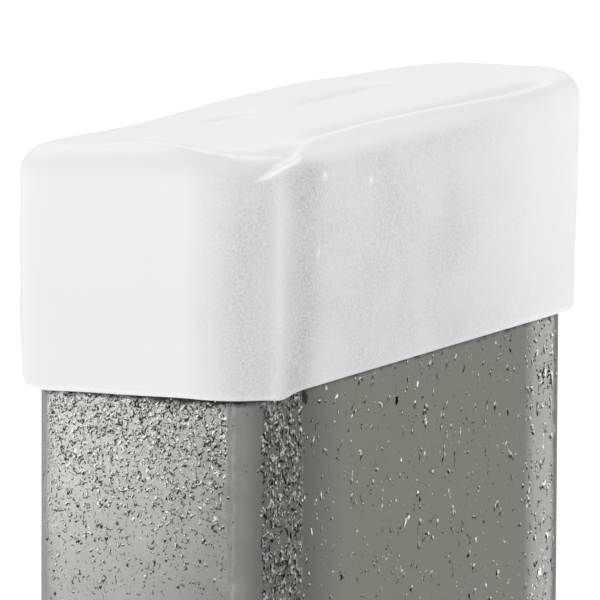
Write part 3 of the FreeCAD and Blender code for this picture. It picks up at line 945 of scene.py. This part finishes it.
def coons(edge):
    """Fills a closed edge of COLUMNS points with a grid that blends its four sides."""
    south = edge[:LONG_STEPS + 1]
    east = edge[LONG_STEPS:LONG_STEPS + SHORT_STEPS + 1]
    north = edge[LONG_STEPS + SHORT_STEPS:2 * LONG_STEPS + SHORT_STEPS + 1][::-1]
    west = np.concatenate([edge[2 * LONG_STEPS + SHORT_STEPS:], edge[:1]])[::-1]
    u = fine_first[:, None, None]
    v = fine_short[None, :, None]
    lengthways = (1 - v) * south[:, None] + v * north[:, None]
    sideways = (1 - u) * west[None] + u * east[None]
    corners = (1 - u) * (1 - v) * south[0] + u * (1 - v) * south[-1]
    corners = corners + (1 - u) * v * north[0] + u * v * north[-1]
    return (lengthways + sideways - corners)[1:-1, 1:-1].reshape(-1, 3)


rings = [ring(*row) for row in rows]
ceiling = coons(rings[0][0])
crown = coons(rings[-1][0])
upwards = np.tile([0.0, 0.0, 1.0], (len(crown), 1))
points = np.concatenate([p for p, _ in rings] + [ceiling, crown])
ways = np.concatenate([w for _, w in rings] + [upwards, upwards])
row_ids = np.arange(len(rows) * COLUMNS).reshape(len(rows), COLUMNS)
is_outside = np.zeros(len(points), bool)
is_outside[row_ids[len(inside):].ravel()] = True
is_outside[-len(crown):] = True
print("points:", len(points))


# %% Faces
def patch_ids(edge_ids, first_inner):
    """Point numbers of a patch as a grid: its edge from a ring, its middle newly made."""
    ids = np.empty((LONG_STEPS + 1, SHORT_STEPS + 1), int)
    middle = np.arange((LONG_STEPS - 1) * (SHORT_STEPS - 1)) + first_inner
    ids[1:-1, 1:-1] = middle.reshape(LONG_STEPS - 1, SHORT_STEPS - 1)
    loop = np.append(edge_ids, edge_ids[0])
    ids[:, 0] = loop[:LONG_STEPS + 1]
    ids[-1, :] = loop[LONG_STEPS:LONG_STEPS + SHORT_STEPS + 1]
    ids[::-1, -1] = loop[LONG_STEPS + SHORT_STEPS:2 * LONG_STEPS + SHORT_STEPS + 1]
    ids[0, ::-1] = loop[2 * LONG_STEPS + SHORT_STEPS:]
    return ids


def quads(ids):
    """Four-sided faces between neighbours in a grid of point numbers."""
    corners = (ids[:-1, :-1], ids[1:, :-1], ids[1:, 1:], ids[:-1, 1:])
    return np.stack([c.ravel() for c in corners], axis=1)


looped = np.concatenate([row_ids, row_ids[:, :1]], axis=1)
ceiling_ids = patch_ids(row_ids[0], row_ids.size)
crown_ids = patch_ids(row_ids[-1], row_ids.size + len(ceiling))
faces = np.concatenate([quads(looped.T), quads(ceiling_ids)[:, ::-1], quads(crown_ids)])
print("faces:", len(faces))

# %% [markdown]
# ## The vinyl cap: how it sags and folds
#
# A dipped cap that has been pushed on by hand is never the box that it was drawn as. The top swells a
# little, its far corner droops, and the skin gathers in small sharp creases where the crown turns
# and in one pinch at the near corner, where there was skin to spare.
#
# Each of these is one short rule that says how far a point moves. Broad ones move the inside with the
# outside, so the skin keeps its thickness. Creases are ridges along a short path on the skin and
# only change the outside: they are highest on the path and fade with distance from it.


# %% Broad shape
CLOSED_END_FLARE = 0.45
FAR_EDGE_DROOP = 1.10
NEAR_EDGE_DIP = 0.16
# More droop along the far long edge: how far along, how much and how wide.
EDGE_WAVES = [(-13.0, 0.40, 10.0), (34.0, 0.62, 8.0), (-40.0, -0.22, 6.0)]
# Round rises of the top: a place, a height and a width. One corner stands up, the end edge swells
# beside it, and the opposite corner is rounded off.
TOP_RISES = [
    ((cap_half[0], -cap_half[1]), 0.32, 9.0),
    ((cap_half[0], 7.0), 0.20, 4.0),
    ((-cap_half[0], cap_half[1]), -0.28, 4.0),
]
# The lip hangs lower at two corners and is drawn up on the end wall.
LIP_DROPS = [((-32.2, -14.2), 0.42, 2.3), ((-36.0, 12.0), 0.40, 5.0), ((-40.0, -7.0), -0.22, 6.0)]


def fade(value, start, end):
    """0 before start, 1 after end, and smooth between."""
    t = np.clip((value - start) / (end - start), 0, 1)
    return t * t * (3 - 2 * t)


def hill(distance, width):
    """1 at no distance, fading over a width."""
    return np.exp(-(distance / width) ** 2)


def hills(x, y, places):
    """Round hills added up, each with a place, a height and a width."""
    return sum(height * hill(np.hypot(x - a, y - b), width) for (a, b), height, width in places)


def broad_shape(p):
    """How far the cap's skin moves from the drawn box, in millimetres."""
    x, y, z = p.T
    u, v = x / cap_half[0], y / cap_half[1]
    upper = fade(z, RIM + 9, TOP)
    move = np.zeros_like(p)

    # The closed end is a little wider than the mouth, most of all at the corners.
    near_end = fade(z, RIM - 2, RIM + 8)
    far_end = 0.9 * fade(z, RIM + 3, TOP - 4)
    flare = CLOSED_END_FLARE * (near_end + (far_end - near_end) * fade(u, -0.5, 0.5))
    reach = np.maximum(np.hypot(u, v), 1e-6)
    move[:, 0] += flare * u / reach
    move[:, 1] += flare * v / reach

    # The top leans down to the far long edge, and that edge is wavy.
    far = fade(v, 0.435 * fade(u, 0.45, 1) - 0.45, 0.95)
    lean = FAR_EDGE_DROOP + sum(drop * hill(x - a, width) for a, drop, width in EDGE_WAVES)
    dip = NEAR_EDGE_DIP * hill(x - 16, 12) * fade(-v, 0.2, 1)
    move[:, 2] += upper * (hills(x, y, TOP_RISES) - far * lean - dip)

    lower = 1 - fade(z, RIM, RIM + 6)
    move[:, 2] -= lower * hills(x, y, LIP_DROPS)
    return move


def uneven(p, height, scale, seed):
    """Smooth noise up to this height for each point, with hills about as many millimetres wide."""
    shift = Vector((seed, 2.0 * seed, 3.0 * seed))
    return height * np.array([noise.noise(Vector(q) / scale + shift) for q in p])


# %% The paths of the creases
# Each crease is a path on the drawn box, a height (a groove's is below zero), a width, and how much
# painted shade the skin beside it gets, from 0 to 1.
CREASES = {
    "end_edge_ridge": ([
        (-37.9, 5.0, 91.8), (-37.0, 2.0, 92.0), (-36.4, -1.0, 92.0), (-37.4, -5.0, 91.8),
        (-38.2, -8.5, 91.5), (-37.6, -11.3, 91.2), (-36.0, -12.9, 91.0), (-33.7, -13.6, 90.9),
        (-31.6, -13.9, 90.7),
    ], 0.21, 0.26, 0.8),
    "long_edge_ridge": ([
        (-32.2, -14.1, 89.9), (-30.2, -13.9, 90.5), (-27.2, -13.3, 91.2), (-24.0, -13.0, 91.5),
        (-11.7, -12.7, 91.6), (-3.0, -12.8, 91.5), (5.5, -13.0, 91.4), (17.9, -13.3, 91.2),
        (31.0, -13.4, 91.1),
    ], 0.14, 0.27, 0.20),
    "top_dent": ([
        (-16.0, 5.6, 92.0), (-13.6, 4.9, 92.0), (-9.6, 4.6, 92.0), (-7.1, 3.6, 92.0), (-4.0, 1.9, 92.0),
    ], -0.32, 1.3, 0.9),
    "top_valley": ([
        (-3.0, 1.2, 92.0), (3.8, 1.6, 92.0), (9.6, 1.8, 92.0), (16.6, 1.7, 92.0), (22.0, 1.5, 92.0),
    ], -0.28, 1.2, 0.7),
    "long_edge_groove": ([
        (-27.0, -11.9, 91.9), (-12.7, -11.4, 92.0), (0.0, -11.8, 91.9), (12.0, -12.2, 91.8),
        (30.0, -12.8, 91.4),
    ], -0.36, 0.85, 0.8),
    "long_edge_brow": ([
        (-29.0, -13.4, 90.9), (-24.0, -13.2, 91.2), (-3.0, -13.2, 91.2), (17.9, -13.5, 91.0),
        (36.0, -13.5, 90.9),
    ], 0.34, 1.3, 0.0),
    "pinch": ([
        (-37.2, -13.0, 88.8), (-35.7, -13.8, 89.4), (-34.2, -14.1, 89.9), (-31.3, -14.0, 90.2),
        (-27.8, -13.8, 90.6),
    ], 0.34, 0.34, 0.2),
    "pinch_shadow": ([
        (-36.0, -12.6, 90.6), (-33.5, -13.2, 91.0), (-30.0, -13.3, 91.1),
    ], -0.22, 0.7, 0.5),
    "corner_ridge": ([
        (-34.0, -13.9, 90.9), (-34.5, -14.2, 88.0), (-34.5, -14.2, 80.0), (-34.4, -14.2, 67.5),
    ], 0.20, 0.95, 0.0),
    "corner_hollow": ([
        (-29.8, -14.3, 89.5), (-29.2, -14.3, 80.0), (-29.0, -14.3, 67.0),
    ], -0.28, 1.8, 0.0),
}

# Small bubbles under the skin, each a place, a height and a width. Each is whitened as a painted highlight.
BUBBLES = [
    ((-24.4, -14.4, 88.1), 0.16, 0.34), ((-14.1, -14.4, 86.4), 0.16, 0.34),
    ((-25.6, -14.4, 80.4), 0.12, 0.30),
]
print("creases:", len(CREASES), "bubbles:", len(BUBBLES))


# %% Creases
# A ridge narrower than this is whitened along it, as stress whitening and a painted highlight. A crease
# rises over its first and last stretch, and its painted shade reaches this far to both sides.
SHARP = 0.5
TAPER = 2.2
CREASE_SHADE_WIDTH = 1.6


def to_path(p, path):
    """How far each point is from a path of straight stretches, and its nearest spot from either end."""
    path = np.array(path, float)
    steps = np.linalg.norm(np.diff(path, axis=0), axis=1)
    before = np.concatenate([[0], np.cumsum(steps)])
    nearest = np.full(len(p), np.inf)
    way = np.zeros(len(p))
    for k, (a, b) in enumerate(zip(path[:-1], path[1:])):
        t = np.clip((p - a) @ (b - a) / steps[k] ** 2, 0, 1)
        gap = np.linalg.norm(p - (a + t[:, None] * (b - a)), axis=1)
        closer = gap < nearest
        nearest[closer] = gap[closer]
        way[closer] = (before[k] + t * steps[k])[closer]
    return nearest, way, before[-1] - way


def creases(p):
    """How far the creases push the skin out, how much it is whitened as a painted highlight, and how much
    painted shade it gets, from 0 to 1.
    """
    push, fold_whitening_and_highlight, crease_shade = np.zeros((3, len(p)))
    for path, height, width, shade_share in CREASES.values():
        gap, from_start, from_end = to_path(p, path)
        ends = fade(from_start, 0, TAPER) * fade(from_end, 0, TAPER)
        push += height * ends * hill(gap, width)
        soft_ends = fade(from_start, 0, 3 * TAPER) * fade(from_end, 0, 3 * TAPER)
        crease_shade = np.maximum(crease_shade, shade_share * soft_ends * hill(gap, CREASE_SHADE_WIDTH))
        if height > 0 and width < SHARP:
            fold_whitening_and_highlight = np.maximum(fold_whitening_and_highlight, ends * hill(gap, 0.8 * width))
    for place, height, width in BUBBLES:
        gap = np.linalg.norm(p - place, axis=1)
        push += height * hill(gap, width)
        fold_whitening_and_highlight = np.maximum(fold_whitening_and_highlight, hill(gap, width))
    return push, fold_whitening_and_highlight, crease_shade


# A height, a width and a seed: slow waves of the whole skin, and quick ones of its outside.
SLOW_WAVES = (0.05, 9.0, 3.0)
QUICK_WAVES = (0.02, 2.6, 8.0)
push, fold_whitening_and_highlight, crease_shade = creases(points)
push *= is_outside
push += uneven(points, *SLOW_WAVES) + is_outside * uneven(points, *QUICK_WAVES)
moved = points + broad_shape(points) + push[:, None] * ways
print("furthest move:", round(float(np.abs(moved - points).max()), 2), "mm")

# %% The finished cap
skin = bpy.data.meshes.new("vinyl_cap")
skin.from_pydata((moved * MM).tolist(), [], faces.tolist())
skin.materials.append(vinyl_finish)
skin.shade_smooth()
for name, share in (("fold_whitening_and_highlight", fold_whitening_and_highlight), ("crease_shade", crease_shade)):
    skin.attributes.new(name, "FLOAT", "POINT").data.foreach_set("value", share * is_outside)
vinyl_cap = bpy.data.objects.new("vinyl_cap", skin)
bpy.context.scene.collection.objects.link(vinyl_cap)
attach(vinyl_cap, "cap")
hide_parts("cap")
print("vinyl_cap:", len(skin.vertices), "points,", len(skin.polygons), "faces")
